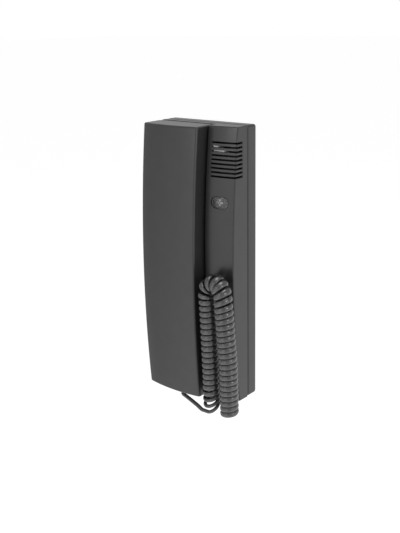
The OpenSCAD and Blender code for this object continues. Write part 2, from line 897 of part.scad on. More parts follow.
module handset_back() {
  dish_r = (ear_r * ear_r + ear_dish * ear_dish) / (2 * ear_dish);
  color(dark_shell)
    difference() {
      union() {
        difference() {
          translate([0, 0, handset_bottom])
            linear_extrude(handset_top - handset_bottom)
              handset_rear_section(0);
          handset_cavity();
        }
        rib(ear_z, ear_r + ear_play, ear_rib_t, parting_d);
        rib(mic_z, mic_r + mic_play + boot_wall + boot_play, boot_rib_t, handset_inner + boot_rib_h);
        for (z = handset_screw_z)
          post(handset_xc(), z, handset_boss_r, handset_inner - sink, parting_d);
        saddle(handset_bush_x, handset_bush_d, handset_bush_z, handset_inner - sink);
      }
      translate([handset_xc(), dish_r - handset_rear - ear_dish, ear_z])
        sphere(dish_r, $fn = 120);
      post(handset_xc(), ear_z, ear_hole_r, handset_rear - over, handset_inner + over);
      for (i = [0:ear_hole_count - 1])
        post(handset_xc() + ear_hole_ring * cos(i * 360 / ear_hole_count),
          ear_z + ear_hole_ring * sin(i * 360 / ear_hole_count), ear_hole_r, handset_rear - over,
          handset_inner + over);
      post(handset_xc(), mic_z, mic_hole_r, handset_rear - over, handset_inner + over);
      for (z = handset_screw_z) {
        post(handset_xc(), z, handset_screw_r + hole_play, handset_rear - over, parting_d + over);
        post(handset_xc(), z, handset_screw_head_r + hole_play, handset_rear - over,
          handset_rear + handset_screw_sink);
      }
      along_x(handset_xc(), tongue_w + 2 * tongue_play)
        tongue_profile(handset_rear - over, handset_inner + over, tongue_play);
      handset_cord_port();
    }
}

// The hollow of the rear shell, open at the parting line
module handset_cavity() {
  translate([0, 0, handset_bottom + handset_wall])
    linear_extrude(handset_top - handset_bottom - 2 * handset_wall) {
      handset_rear_section(handset_wall);
      translate([handset_x0 + handset_wall, -parting_d - over])
        square([handset_w - 2 * handset_wall, over + sink]);
    }
}

// A round rib inside the rear shell
module rib(z, r, t, d1) {
  difference() {
    post(handset_xc(), z, r + t, handset_inner - sink, d1);
    post(handset_xc(), z, r, handset_inner - over, d1 + over);
  }
}

module handset_screws() {
  seat = handset_rear + handset_screw_sink;
  color(steel)
    for (z = handset_screw_z)
      translate([handset_xc(), -seat, z])
        rotate([90, 0, 0])
          screw(handset_screw_r, handset_screw_l, handset_screw_head_r, handset_screw_head_t);
}

module earpiece_capsule() {
  rear = handset_inner + gasket_t;
  color(steel) {
    post(handset_xc(), ear_z, ear_r, rear, rear + ear_t);
    post(handset_xc(), ear_z, capsule_core_r, rear + ear_t - sink, rear + ear_t + capsule_core_t);
  }
}

module earpiece_gasket() {
  color(rubber_black)
    difference() {
      post(handset_xc(), ear_z, ear_r, handset_inner, handset_inner + gasket_t);
      post(handset_xc(), ear_z, ear_r - gasket_w, handset_inner - over, handset_inner + gasket_t + over);
    }
}

module microphone_capsule() {
  rear = handset_inner + boot_floor;
  color(steel)
    post(handset_xc(), mic_z, mic_r, rear, rear + mic_t);
}

module microphone_boot() {
  color(rubber_black)
    difference() {
      post(handset_xc(), mic_z, mic_r + mic_play + boot_wall, handset_inner,
        handset_inner + boot_floor + mic_t);
      post(handset_xc(), mic_z, mic_r + mic_play, handset_inner + boot_floor,
        handset_inner + boot_floor + mic_t + over);
      post(handset_xc(), mic_z, mic_hole_r, handset_inner - over, handset_inner + boot_floor + over);
    }
}

module handset_gland() {
  color(rubber_black)
    bush(handset_bush_x, handset_bush_d, handset_bush_z);
}

// Tubes: rings of points along a path, joined by triangles and closed at both ends
function unit(v) = v / norm(v);
function heading(path, i) = unit(path[min(i + 1, len(path) - 1)] - path[max(i - 1, 0)]);
function ring(p, along, out, half_out, half_side, sides) =
  let (e1 = unit(out - (out * along) * along), e2 = cross(along, e1))
  [for (k = [0:sides - 1]) let (a = 360 * (k + 0.5) / sides)
    p + half_out * cos(a) * e1 + half_side * sin(a) * e2];

module tube(rings) {
  sides = len(rings[0]);
  last = len(rings) - 1;
  walls = [for (i = [0:last - 1]) for (k = [0:sides - 1])
    let (a = i * sides + k, b = i * sides + (k + 1) % sides, c = a + sides, d = b + sides)
    each [[a, b, d], [a, d, c]]];
  first_cap = [for (k = [1:sides - 2]) [0, k + 1, k]];
  last_cap = [for (k = [1:sides - 2]) [last * sides, last * sides + k, last * sides + k + 1]];
  polyhedron([for (r = rings) each r], concat(walls, first_cap, last_cap));
}

// The coil's axis at a turn count: the wall unit's leg, the bend and the handset's leg
bend_start = base_turns;
bend_stop = base_turns + bend_turns;
loose_start = bend_stop + handset_turns;
function bend_angle(t) = 180 * (t - bend_start) / bend_turns;
function leg_share(t) = t < loose_start ?
  (1 - loose_share) * (t - bend_stop) / handset_turns :
  1 - loose_share + loose_share * (t - loose_start) / (coil_turns - loose_start);
function axis_at(t) =
  t < bend_start ? base_foot + (base_head - base_foot) * t / base_turns :
  t < bend_stop ? bend_mid + bend_r * outward(t) :
  handset_head + (handset_foot - handset_head) * leg_share(t);
function outward(t) =
  t < bend_start ? bend_side :
  t < bend_stop ? bend_side * cos(bend_angle(t)) + [0, 0, sin(bend_angle(t))] :
  -bend_side;
bend_normal = cross([0, 0, 1], bend_side);
// Share of a turn's inner side in the bend: 1 at the inside, 0 at the sides and outside the bend
function in_bend(t) = t > bend_start - 0.5 && t < bend_stop + 0.5;
function inner_share(t) = in_bend(t) ? max(0, -cos(360 * t + 180)) : 0;
// Every other turn of the bend is flattened on its inner side, so that the turns find room there
function drawn(t) = in_bend(t) && (round(t) - bend_start) % 2 == 1;
// The loose turns hang open at the front, the last one most
function tilt(t) = loose_tilt * max(0, (t - loose_start) / (coil_turns - loose_start));
function coil_out(t) = let (a = 360 * t + 180)
  outward(t) * cos(a) + (bend_normal * cos(tilt(t)) + [0, 0, sin(tilt(t))]) * sin(a);
function coil_point(t) =
  axis_at(t) + coil_out(t) * coil_r +
  (drawn(t) ? outward(t) * max(0, coil_r * inner_share(t) - draw_to) : [0, 0, 0]);
// Width of the strand along the coil: less inside the bend, and turned on edge where the coil is loose
function loose_turned(t) = min(1, max(0, (t - loose_start - 0.5) / 0.75));
function strand_width(t) = strand_w - bend_squeeze * inner_share(t) - loose_narrow * loose_turned(t);

coil_count = round(coil_turns * rings_per_turn);
coil_path = [for (i = [0:coil_count]) coil_point(i / rings_per_turn)];
coil_start = coil_path[0] + [0, strand_end_l, 0];
coil_stop = coil_path[coil_count] - [strand_end_l, 0, 0];
coil_rings = [for (i = [0:coil_count]) let (t = i / rings_per_turn)
  ring(coil_path[i], heading(coil_path, i), coil_out(t), strand_t / 2,
    strand_width(t) / 2, strand_sides)];
strand_rings = concat(
  [ring(coil_start, [0, -1, 0], coil_out(0), strand_t / 2, strand_w / 2, strand_sides)],
  coil_rings,
  [ring(coil_stop, [-1, 0, 0], coil_out(coil_turns), strand_t / 2, strand_width(coil_turns) / 2,
    strand_sides)]
);

// Least gap of the coil to itself, measured between the corners of rings that are not neighbours
near_reach = 7;
function ring_gap(a, b) = min([for (p = a) for (q = b) norm(p - q)]);
function coil_gap() = min([for (i = [0:coil_count]) for (j = [i + 5:coil_count])
  norm(coil_path[i] - coil_path[j]) < near_reach ? ring_gap(coil_rings[i], coil_rings[j]) : near_reach]);

module curly_cord() {
  echo(coil_least_gap = coil_gap());
  color(cord_black)
    tube(strand_rings);
}

// A plain tail of the cord along its own points
module tail(route, aside) {
  color(cord_black)
    tube([for (i = [0:len(route) - 1])
      ring(route[i], heading(route, i), aside, tail_r, tail_r, tail_sides)]);
}

module base_tail() {
  tail(concat(base_route, [coil_start + [0, tail_end_l, 0], coil_start]), [1, 0, 0]);
}

module handset_tail() {
  tail(concat(handset_route, [coil_stop - [tail_end_l, 0, 0], coil_stop]), [1, 1, 0]);
}

wall_plate();
front_cover();
cover_screw();
circuit_board();
board_screws();
terminal_block();
terminal_screws();
speaker_frame();
speaker_cone();
speaker_magnet();
speaker_clip();
door_button();
door_switch();
door_switch_stem();
hook_plunger();
hook_spring();
hook_switch();
hook_switch_stem();
base_gland();
handset_front();
handset_back();
handset_screws();
earpiece_capsule();
earpiece_gasket();
microphone_capsule();
microphone_boot();
handset_gland();
curly_cord();
base_tail();
handset_tail();
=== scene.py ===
import json
import math

import bmesh
import bpy
import numpy as np
from mathutils import Matrix, Vector


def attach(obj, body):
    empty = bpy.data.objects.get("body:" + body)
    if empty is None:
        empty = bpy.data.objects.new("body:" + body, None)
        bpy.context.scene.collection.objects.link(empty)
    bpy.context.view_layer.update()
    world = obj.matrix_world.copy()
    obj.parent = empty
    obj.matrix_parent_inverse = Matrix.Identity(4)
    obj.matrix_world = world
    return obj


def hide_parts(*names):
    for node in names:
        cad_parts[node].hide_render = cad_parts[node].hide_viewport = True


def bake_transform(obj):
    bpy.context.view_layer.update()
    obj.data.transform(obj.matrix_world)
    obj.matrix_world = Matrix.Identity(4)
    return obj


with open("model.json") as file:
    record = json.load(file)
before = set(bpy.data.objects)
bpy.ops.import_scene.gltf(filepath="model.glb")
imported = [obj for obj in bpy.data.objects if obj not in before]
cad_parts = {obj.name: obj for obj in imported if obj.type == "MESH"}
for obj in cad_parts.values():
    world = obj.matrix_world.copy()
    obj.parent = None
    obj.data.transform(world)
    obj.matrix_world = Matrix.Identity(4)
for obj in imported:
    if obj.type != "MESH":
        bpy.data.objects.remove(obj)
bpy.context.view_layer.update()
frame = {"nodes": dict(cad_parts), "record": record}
scene = bpy.context.scene
scene.view_settings.view_transform = "Standard"
MM = 0.001
# The material slot of each node
SLOTS = {part["node"]: part["material_slot"] for part in frame["record"]["subparts"]}

# Camera at the photograph's viewing angle: its place, and degrees of turn to the left, tilt down and roll
IMAGE_H = 533
CAMERA_AT = (386.05, -477.62, 181.22)
CAMERA_YAW = 40.142
CAMERA_DOWN = 17.165
CAMERA_ROLL = -1.144
FOCAL_PIXELS = 820.5
SENSOR_H = 36
CLIP_START = 10


def make_camera():
    yaw, down, roll = (math.radians(a) for a in (CAMERA_YAW, CAMERA_DOWN, CAMERA_ROLL))
    level = Vector((-math.sin(yaw), math.cos(yaw), 0))
    upright = Vector((0, 0, 1))
    right = Vector((math.cos(yaw), math.sin(yaw), 0))
    ahead = level * math.cos(down) - upright * math.sin(down)
    up = level * math.sin(down) + upright * math.cos(down)
    turned_right = right * math.cos(roll) + up * math.sin(roll)
    turned_up = up * math.cos(roll) - right * math.sin(roll)
    data = bpy.data.cameras.new("camera")
    data.sensor_fit = "VERTICAL"
    data.sensor_height = SENSOR_H
    data.lens = FOCAL_PIXELS * SENSOR_H / IMAGE_H
    data.clip_start = CLIP_START * MM
    camera = bpy.data.objects.new("camera", data)
    turn = Matrix((turned_right, turned_up, -ahead)).transposed().to_4x4()
    camera.matrix_world = Matrix.Translation(Vector(CAMERA_AT) * MM) @ turn
    scene.collection.objects.link(camera)
    scene.camera = camera


# Materials: the part of the noise's range that is used, and the noise's detail in the clouds and the grain
NOISE_SPAN = (0.3, 0.7)
CLOUD_DETAIL = 3.0
GRAIN_DETAIL = 2.0


def add_node(tree, kind, **values):
    node = tree.nodes.new("ShaderNode" + kind)
    for name, value in values.items():
        node.inputs[name.replace("_", " ")].default_value = value
    return node


def spots(tree, size, detail, stretch):
    """Noise in the object's own space, with spots of about that size in millimetres."""
    place = add_node(tree, "TexCoord")
    scale = add_node(tree, "Mapping", Scale=stretch)
    noise = add_node(tree, "TexNoise", Scale=1 / (size * MM), Detail=detail)
    tree.links.new(place.outputs["Object"], scale.inputs["Vector"])
    tree.links.new(scale.outputs["Vector"], noise.inputs["Vector"])
    return noise.outputs["Fac"]


def spread(tree, value, low, high):
    """A noise value spread from one number to another."""
    node = add_node(
        tree, "MapRange", From_Min=NOISE_SPAN[0], From_Max=NOISE_SPAN[1], To_Min=low, To_Max=high)
    tree.links.new(value, node.inputs["Value"])
    return node.outputs["Result"]


def tint(tree, value, low, high):
    """A noise value turned into a colour between two."""
    node = tree.nodes.new("ShaderNodeValToRGB")
    for element, place, colour in zip(node.color_ramp.elements, NOISE_SPAN, (low, high)):
        element.position = place
        element.color = (*colour, 1)
    tree.links.new(value, node.inputs["Fac"])
    return node.outputs["Color"]


def relief(tree, shader, height, depth):
    """Bump of that depth in millimetres."""
    node = add_node(tree, "Bump", Distance=depth * MM)
    tree.links.new(height, node.inputs["Height"])
    tree.links.new(node.outputs["Normal"], shader.inputs["Normal"])


def finish(name, colours, rough, cloud, grain, depth, stretch=(1, 1, 1), **sockets):
    """A material with clouds of two colours, and a fine grain in roughness and relief."""
    material = bpy.data.materials.new(name)
    material.use_nodes = True
    tree = material.node_tree
    shader = tree.nodes["Principled BSDF"]
    for socket, value in sockets.items():
        shader.inputs[socket.replace("_", " ")].default_value = value
    clouds = spots(tree, cloud, CLOUD_DETAIL, stretch)
    fine = spots(tree, grain, GRAIN_DETAIL, stretch)
    tree.links.new(tint(tree, clouds, *colours), shader.inputs["Base Color"])
    tree.links.new(spread(tree, fine, *rough), shader.inputs["Roughness"])
    relief(tree, shader, fine, depth)
    return material


def grey(value, cast=0.0):
    return (value, value, value * (1 + cast))


# Sizes of clouds and grain and the depth of the relief are in millimetres
FINISHES = {
    "graphite_plastic": dict(
        colours=(grey(0.016), grey(0.02)), rough=(0.28, 0.34), cloud=9, grain=0.35, depth=0.004,
        Specular_IOR_Level=0.77),
    "handset_plastic": dict(
        colours=(grey(0.022), grey(0.027)), rough=(0.28, 0.34), cloud=9, grain=0.35, depth=0.004,
        Specular_IOR_Level=0.77),
    "screw_steel": dict(
        colours=(grey(0.52, 0.03), grey(0.64, 0.03)), rough=(0.28, 0.42), cloud=2, grain=0.3, depth=0.01,
        Metallic=1.0),
    "board_laminate": dict(
        colours=((0.012, 0.1, 0.035), (0.022, 0.19, 0.07)), rough=(0.25, 0.4), cloud=3, grain=0.4,
        depth=0.02, stretch=(1, 1, 6)),
    "terminal_plastic": dict(
        colours=((0.03, 0.22, 0.09), (0.04, 0.27, 0.12)), rough=(0.38, 0.5), cloud=6, grain=0.3,
        depth=0.006),
    "black_plastic": dict(
        colours=(grey(0.012), grey(0.018)), rough=(0.4, 0.55), cloud=6, grain=0.3, depth=0.008),
    "speaker_paper": dict(
        colours=(grey(0.014), grey(0.03)), rough=(0.8, 0.95), cloud=1.5, grain=0.4, depth=0.05,
        stretch=(1, 1, 2)),
    "plated_steel": dict(
        colours=(grey(0.5), grey(0.6)), rough=(0.18, 0.3), cloud=3, grain=0.4, depth=0.006, Metallic=1.0),
    "white_nylon": dict(
        colours=(grey(0.8, -0.02), grey(0.86, -0.02)), rough=(0.4, 0.5), cloud=5, grain=0.3, depth=0.006),
    "black_rubber": dict(
        colours=(grey(0.016), grey(0.022)), rough=(0.6, 0.75), cloud=4, grain=0.3, depth=0.012),
    "cord_jacket": dict(
        colours=(grey(0.021), grey(0.025)), rough=(0.23, 0.29), cloud=7, grain=0.3, depth=0.004,
        Specular_IOR_Level=1.0, IOR=1.62),
    "clear_plastic": dict(
        colours=(grey(0.8), grey(0.86)), rough=(0.03, 0.07), cloud=4, grain=0.5, depth=0.003,
        Transmission_Weight=0.94, IOR=1.49),
}
MATERIALS = {name: finish(name, **values) for name, values in FINISHES.items()}
FROSTED = finish(
    "clear_plastic_frosted",
    colours=(grey(0.55), grey(0.65)), rough=(0.35, 0.5), cloud=3, grain=0.4, depth=0.006)


# Forms and pieces
def bridge(form, rings):
    """Smooth faces between neighbouring rings, and a flat face at each end."""
    for a, b in zip(rings, rings[1:]):
        for k in range(len(a)):
            n = (k + 1) % len(a)
            form.faces.new((a[k], a[n], b[n], b[k])).smooth = True
    form.faces.new(rings[0][::-1])
    form.faces.new(rings[-1])
    bmesh.ops.recalc_face_normals(form, faces=form.faces)


def link_form(name, form, material):
    """A piece from a finished form."""
    mesh = bpy.data.meshes.new(name)
    form.to_mesh(mesh)
    form.free()
    piece = bpy.data.objects.new(name, mesh)
    scene.collection.objects.link(piece)
    piece.data.materials.append(material)
    return piece


def add_piece(name, form, body, material):
    """A piece from a finished form and the body that it rides on."""
    piece = link_form(name, form, material)
    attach(piece, body)
    return piece


# Curly cord, along the same route as its solids; counts of turns start at the wall unit's end
COIL_OD = 14.3
STRAND_W = 4.3
STRAND_T = 2.9
STRAND_SQUARE = 2.2
COIL_R = (COIL_OD - STRAND_T) / 2
BASE_TURNS = 21
BEND_TURNS = 5
HANDSET_TURNS = 16
LOOSE_TURNS = 4
LAST_PART_TURN = 0.25
COIL_TURNS = BASE_TURNS + BEND_TURNS + HANDSET_TURNS + LOOSE_TURNS + LAST_PART_TURN
BEND_START, BEND_STOP = BASE_TURNS, BASE_TURNS + BEND_TURNS
LOOSE_START = BEND_STOP + HANDSET_TURNS
LOOSE_TILT = math.radians(40)
# The coil's axis: turn counts and places, first up the wall unit's leg, then over the bend and down
AXIS = (
    (0, (40.8, -37, -108.2)), (4, (41.1, -37.8, -91)), (9.39, (41.1, -38.7, -67.5)),
    (14.39, (40, -39.6, -45.6)), (19.39, (39, -40.6, -23.4)), (20.39, (38.8, -40.8, -18.2)),
    (21.39, (38.2, -40.8, -12.9)), (22.35, (35.8, -40.5, -8.7)), (23.32, (33.2, -39.9, -6.3)),
    (24.28, (28.4, -39.3, -6.4)), (25.2, (23.6, -38.7, -9.8)), (26.25, (22, -38.1, -16.9)),
    (27.25, (22.2, -37.9, -22)), (34, (22.9, -37.1, -53)), (LOOSE_START, (23.2, -36.2, -89.4)),
    (COIL_TURNS, (22.4, -35.3, -108)),
)
# How far the turns are swung round into the bend: turn counts and degrees
LEAN = (
    (6, 0), (14, 5), (17, 9), (19.25, 15), (20.25, 20), (21.25, 27), (22.25, 40), (23.25, 62), (24.25, 90),
    (25.25, 132), (26.25, 168), (27.5, 180),
)
BASE_ROUTE = [
    (31, -14, -96), (31, -14, -99.5), (31.1, -14.8, -103), (31.6, -18, -106.6),
    (32.8, -22.5, -108.8), (34.7, -27, -109.2),
]
HANDSET_ROUTE = [
    (-13.35, -21.8, -96), (-13.35, -21.8, -99.5), (-13.3, -22.2, -103), (-13, -24.4, -106.2),
    (-12.2, -27.8, -108.3), (-10.4, -31.5, -108.9), (-5.3, -33.5, -109), (-0.3, -35, -109.4),
    (4.9, -36.3, -110.1), (10.1, -37.6, -110.9), (13.7, -38.7, -111.6),
]
ROUTE_STEPS = 4
TAIL_R = 1.6
TAIL_SQUARE = 2
STRAND_END_L = 3
TAIL_END_L = 2.5
# Rings over which a tail goes over into the coil
TAIL_BLEND = 12
RINGS_PER_TURN = 24
STRAND_SIDES = 16
# Changes of the strand's width, and turns over which they come in
BEND_SQUEEZE = 2.2
BEND_WIDEN = 0.9
BEND_EASE = 1.5
LOOSE_NARROW = 1.9
LOOSE_DELAY = 0.5
LOOSE_EASE = 2.5
# Turn counts where the bend starts, at its right side, and ends, at its left side
BEND_CUTS = (20.5, 27.5)
# The coil's own directions; it is turned a little out of the wall's plane
ACROSS_SLOPE = 0.17
ACROSS = np.array((1.0, -ACROSS_SLOPE, 0.0)) / math.hypot(1.0, ACROSS_SLOPE)
UPRIGHT = np.array((0.0, 0.0, 1.0))
REARWARD = np.cross(UPRIGHT, ACROSS)


def unit(v):
    return v / np.linalg.norm(v)


def ease(value):
    share = min(1.0, max(0.0, value))
    return share * share * (3 - 2 * share)


def through(points, t):
    """A smooth curve through points that are given with their turn counts."""
    counts = [p[0] for p in points]
    values = [np.array(p[1], float) for p in points]
    i = min(max(int(np.searchsorted(counts, t, "right")) - 1, 0), len(points) - 2)

    def slope(k):
        a, b = max(k - 1, 0), min(k + 1, len(points) - 1)
        return (values[b] - values[a]) / (counts[b] - counts[a])

    span = counts[i + 1] - counts[i]
    s = (t - counts[i]) / span
    return ((1 + 2 * s) * (1 - s) ** 2 * values[i] + s * (1 - s) ** 2 * span * slope(i)
            + s * s * (3 - 2 * s) * values[i + 1] + s * s * (s - 1) * span * slope(i + 1))


def coil_out(t):
    """Direction from the coil's axis to the strand; turns lean into the bend, loose ones hang open."""
    lean = math.radians(np.interp(t, *zip(*LEAN)))
    tilt = LOOSE_TILT * max(0, (t - LOOSE_START) / (COIL_TURNS - LOOSE_START))
    across = ACROSS * math.cos(lean) + UPRIGHT * math.sin(lean)
    a = 2 * math.pi * t + math.pi
    return across * math.cos(a) + (REARWARD * math.cos(tilt) + UPRIGHT * math.sin(tilt)) * math.sin(a)


def coil_point(t):
    return through(AXIS, t) + coil_out(t) * COIL_R


def strand_width(t):
    """The strand is narrower inside the bend, wider outside it, and on edge where the coil is loose."""
    bent = ease((t - BEND_START + 1) / BEND_EASE) * ease((BEND_STOP + 1 - t) / BEND_EASE)
    inside = math.cos(2 * math.pi * t)
    turned = ease((t - LOOSE_START - LOOSE_DELAY) / LOOSE_EASE)
    change = -BEND_SQUEEZE * inside if inside > 0 else -BEND_WIDEN * inside
    return STRAND_W + change * bent - LOOSE_NARROW * turned


def smooth_route(points):
    """Points on a smooth curve through the route's own points."""
    p = [np.array(q, float) for q in points]
    p = [2 * p[0] - p[1]] + p + [2 * p[-1] - p[-2]]
    curve = []
    for a, b, c, d in zip(p, p[1:], p[2:], p[3:]):
        for i in range(ROUTE_STEPS):
            s = i / ROUTE_STEPS
            curve.append(0.5 * (2 * b + (c - a) * s + (2 * a - 5 * b + 4 * c - d) * s ** 2
                                + (3 * b - a - 3 * c + d) * s ** 3))
    return curve + [p[-2]]


def tube_mesh(name, path, outs, half_out, half_side, square):
    """A closed tube with a ring at each point of a path: square 2 is round, 4 a soft rectangle."""
    form = bmesh.new()
    rings = []
    for i, point in enumerate(path):
        along = unit(path[min(i + 1, len(path) - 1)] - path[max(i - 1, 0)])
        e1 = unit(outs[i] - (outs[i] @ along) * along)
        e2 = np.cross(along, e1)
        power = 2 / square[i]
        ring = []
        for k in range(STRAND_SIDES):
            a = 2 * math.pi * (k + 0.5) / STRAND_SIDES
            c = math.copysign(abs(math.cos(a)) ** power, math.cos(a))
            s = math.copysign(abs(math.sin(a)) ** power, math.sin(a))
            ring.append(form.verts.new((point + e1 * c * half_out[i] + e2 * s * half_side[i]) * MM))
        rings.append(ring)
    bridge(form, rings)
    for edge in form.edges:
        edge.smooth = all(face.smooth for face in edge.link_faces)
    return link_form(name, form, MATERIALS["cord_jacket"])


def carry(first, path):
    """A direction carried along a path without twist."""
    outs = [first]
    for i in range(1, len(path)):
        along = unit(path[i] - path[i - 1])
        outs.append(unit(outs[-1] - (outs[-1] @ along) * along))
    return outs


def make_cord():
    """The strand in three pieces end to end: the wall unit's leg, the bend and the handset's leg."""
    count = round(COIL_TURNS * RINGS_PER_TURN)
    turns = [i / RINGS_PER_TURN for i in range(count + 1)]
    coil = [coil_point(t) for t in turns]
    start = coil[0] + np.array((0, STRAND_END_L, 0))
    stop = coil[-1] - np.array((STRAND_END_L, 0, 0))
    base_tail = smooth_route(BASE_ROUTE + [start + np.array((0, TAIL_END_L, 0)), start])
    handset_tail = smooth_route(HANDSET_ROUTE + [stop - np.array((TAIL_END_L, 0, 0)), stop])[::-1]
    path = base_tail + coil + handset_tail
    outs = (carry(coil_out(0), base_tail[::-1])[::-1] + [coil_out(t) for t in turns]
            + carry(coil_out(COIL_TURNS), handset_tail))

    def along(tail_value, coil_values):
        """A size that is tail_value at both ends and goes over into the coil's own values."""
        before = [ease((i + 1 + TAIL_BLEND - len(base_tail)) / TAIL_BLEND) for i in range(len(base_tail))]
        after = [1 - ease((i + 1) / TAIL_BLEND) for i in range(len(handset_tail))]
        return ([tail_value + (coil_values[0] - tail_value) * s for s in before] + coil_values
                + [tail_value + (coil_values[-1] - tail_value) * s for s in after])

    half_out = along(TAIL_R, [STRAND_T / 2] * len(turns))
    half_side = along(TAIL_R, [strand_width(t) / 2 for t in turns])
    square = along(TAIL_SQUARE, [STRAND_SQUARE] * len(turns))
    first, last = (len(base_tail) + round(t * RINGS_PER_TURN) for t in BEND_CUTS)

    def stretch(name, span, exit_place, *nodes):
        points = path[span]
        piece = tube_mesh(name, points, outs[span], half_out[span], half_side[span], square[span])
        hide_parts(*nodes)
        return piece

    base_leg = stretch("cord_base_leg", slice(0, first + 1), path[0], "base_tail", "curly_cord")
    bend = stretch("cord_bend", slice(first, last + 1), path[first], "curly_cord")
    handset_leg = stretch("cord_handset_leg", slice(last, None), path[-1], "curly_cord", "handset_tail")
    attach(base_leg, "base")
    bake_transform(bend)
    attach(handset_leg, "handset")


# Shells: a node's own solid with its facets joined into faces and its edges rounded
WELD = 1e-6
FLAT_ANGLE = math.radians(0.2)
SHARP_ANGLE = math.radians(38)
ROUND_STEPS = 4
PLATE_CORNER_R, PLATE_WALL_R, PLATE_EDGE_R = 1.7, 0.35, 0.75
COVER_CORNER_R, COVER_EDGE_R = 1.8, 0.6
HANDSET_FRONT_R, HANDSET_BACK_R = 1.2, 1.0
# Where the edges to round are found
HALF_W, HALF_H = 38.5, 105
HANDSET_TOP, HANDSET_BOTTOM = 104.7, -103
HANDSET_PARTING = 22
NEAR = 0.02
# The strip's front is an arc over the height; STRIP_BACK is how far behind the wall its centre lies
STRIP_X = (15.2, 37.3)
STRIP_FRONT = 28.1
STRIP_SLOPE = 0.12653
STRIP_BACK = 785.96
STRIP_CROWN = 0.6
STRIP_POINTS = 13
TAB_INSET = 0.8


def shell(node, body, rounds, shape=None):
    """A node's solid with its sharp edges rounded; rounds holds radii and tests that pick the edges."""
    form = bmesh.new()
    form.from_mesh(frame["nodes"][node].data)
    bmesh.ops.remove_doubles(form, verts=form.verts, dist=WELD)
    bmesh.ops.dissolve_limit(form, angle_limit=FLAT_ANGLE, verts=form.verts, edges=form.edges)
    if shape:
        shape(form)
    weight = form.edges.layers.float.new("bevel_weight_edge")
    widest = max((radius for radius, is_picked in rounds), default=1)
    for edge in form.edges:
        if edge.is_manifold and edge.calc_face_angle() > SHARP_ANGLE:
            ends = [v.co / MM for v in edge.verts]
            edge[weight] = next((r / widest for r, is_picked in rounds if is_picked(*ends)), 0)
            edge.smooth = edge[weight] > 0
    for face in form.faces:
        face.smooth = True
    slot = SLOTS[node]
    piece = add_piece(node + "_shell", form, body, MATERIALS[slot])
    rounded = piece.modifiers.new("rounded", "BEVEL")
    rounded.limit_method = "WEIGHT"
    rounded.width = widest * MM
    rounded.segments = ROUND_STEPS
    rounded.use_clamp_overlap = False
    weighted = piece.modifiers.new("weighted_normals", "WEIGHTED_NORMAL")
    weighted.keep_sharp = True
    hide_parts(node)


def crown_strip(form):
    """The strip's front, and the tabs in its slots, stand out a little along its middle."""
    middle, half = sum(STRIP_X) / 2, (STRIP_X[1] - STRIP_X[0]) / 2
    for x in np.linspace(*STRIP_X, STRIP_POINTS)[1:-1]:
        everything = form.verts[:] + form.edges[:] + form.faces[:]
        bmesh.ops.bisect_plane(form, geom=everything, plane_co=(x * MM, 0, 0), plane_no=(1, 0, 0))
    for vert in form.verts:
        x, y, z = vert.co / MM
        if STRIP_X[0] < x < STRIP_X[1]:
            front = STRIP_FRONT + STRIP_SLOPE * (HALF_W - x)
            if abs(math.sqrt((front + STRIP_BACK) ** 2 - z * z) - STRIP_BACK + y) < TAB_INSET:
                vert.co.y -= STRIP_CROWN * (1 - ((x - middle) / half) ** 2) * MM


def make_shells():
    def on_sides(p):
        return abs(abs(p.x) - HALF_W) < NEAR or abs(abs(p.z) - HALF_H) < NEAR

    def in_corner(p):
        return abs(abs(p.x) - HALF_W) < NEAR and abs(abs(p.z) - HALF_H) < NEAR

    def in_left_corner(p):
        return in_corner(p) and p.x < 0

    def at_wall(p):
        return on_sides(p) and p.y > -NEAR

    def at_end(p):
        return p.z > HANDSET_TOP - NEAR or p.z < HANDSET_BOTTOM + NEAR

    def at_parting(p):
        return abs(p.y + HANDSET_PARTING) < NEAR

    def both(test):
        return lambda a, b: test(a) and test(b)

    def end_edge(a, b):
        return at_end(a) and at_end(b) and not (at_parting(a) and at_parting(b))

    plate_rounds = (
        (PLATE_CORNER_R, both(in_corner)), (PLATE_WALL_R, both(at_wall)), (PLATE_EDGE_R, both(on_sides)),
    )
    cover_rounds = ((COVER_CORNER_R, both(in_left_corner)), (COVER_EDGE_R, both(on_sides)))
    shell("wall_plate", "base", plate_rounds)
    shell("front_cover", "base", cover_rounds, crown_strip)
    shell("speaker_clip", "base", (), crown_strip)
    shell("handset_front", "handset", ((HANDSET_FRONT_R, end_edge),))
    shell("handset_back", "handset", ((HANDSET_BACK_R, end_edge),))


# Door button: a clear oval cap with a rounded rim, and a pale cross-shaped stem inside it
BUTTON_X, BUTTON_Z = 26.6, 51
BUTTON_W, BUTTON_H = 14.1, 8.2
BUTTON_FRONT = 29.9
BUTTON_DOME_R = 28
BUTTON_RIM_R = 0.9
RIM_STEPS = 6
DOME_INSETS = (1.7, 2.3, 2.9, 3.5, 4.0)
OVAL_POINTS = 64
LIP_W, LIP_T, LIP_D = 1, 1.2, 24.1
CROSS_W, CROSS_T = 5, 1.3
CROSS_D = (11.4, 27.2)
CROSS_EDGE_R = 0.2
CROSS_EDGE_STEPS = 2


def oval_ring(form, inset, depth_at):
    """Points of the button's oval, moved inwards; depth_at gives the depth at a distance from the middle."""
    r = BUTTON_H / 2 - inset
    half = (BUTTON_W - BUTTON_H) / 2
    ring = []
    for k in range(OVAL_POINTS):
        a = 2 * math.pi * (k + 0.5) / OVAL_POINTS
        x = math.copysign(half, math.cos(a)) + r * math.cos(a)
        z = r * math.sin(a)
        ring.append(form.verts.new(Vector((BUTTON_X + x, -depth_at(math.hypot(x, z)), BUTTON_Z + z)) * MM))
    return ring


def dome_depth(reach):
    return BUTTON_FRONT - BUTTON_DOME_R + math.sqrt(BUTTON_DOME_R ** 2 - reach ** 2)


